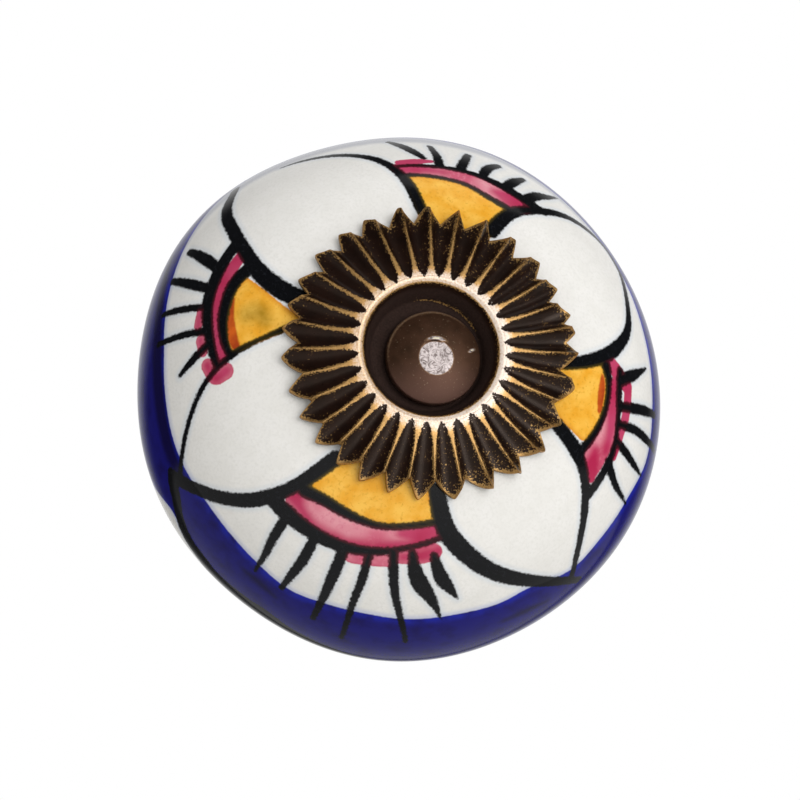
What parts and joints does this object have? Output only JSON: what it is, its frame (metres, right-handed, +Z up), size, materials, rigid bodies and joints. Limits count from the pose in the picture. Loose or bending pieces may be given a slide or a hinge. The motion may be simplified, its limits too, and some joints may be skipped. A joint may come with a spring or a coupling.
{
  "type": "cabinet knob",
  "caption": "Round painted ceramic cabinet knob with a fluted brass rosette on its front, clamped through a door or drawer front by a long bolt, collar, washer and nut.",
  "frame": {"origin": "centre of the collar's seat on the panel, on the bolt axis", "axes": "+Y from the painted front towards the panel, along the bolt; +Z up"},
  "size_m": [0.04, 0.0575, 0.04],
  "materials": {
    "glazed_body": "eggshell glaze over hand painting",
    "aged_brass": "dark lacquer rubbed back to bright brass on the high edges",
    "bronzed_steel": "brown bronzed steel, worn bright on top",
    "zinc_steel": "zinc plated"
  },
  "bodies": {
    "root": {"ceramic_body": "glazed_body", "front_rosette": "aged_brass", "through_bolt": "bronzed_steel", "base_collar": "aged_brass", "lock_nut": "zinc_steel", "panel_washer": "zinc_steel", "panel_nut": "zinc_steel"}
  },
  "joints": []
}
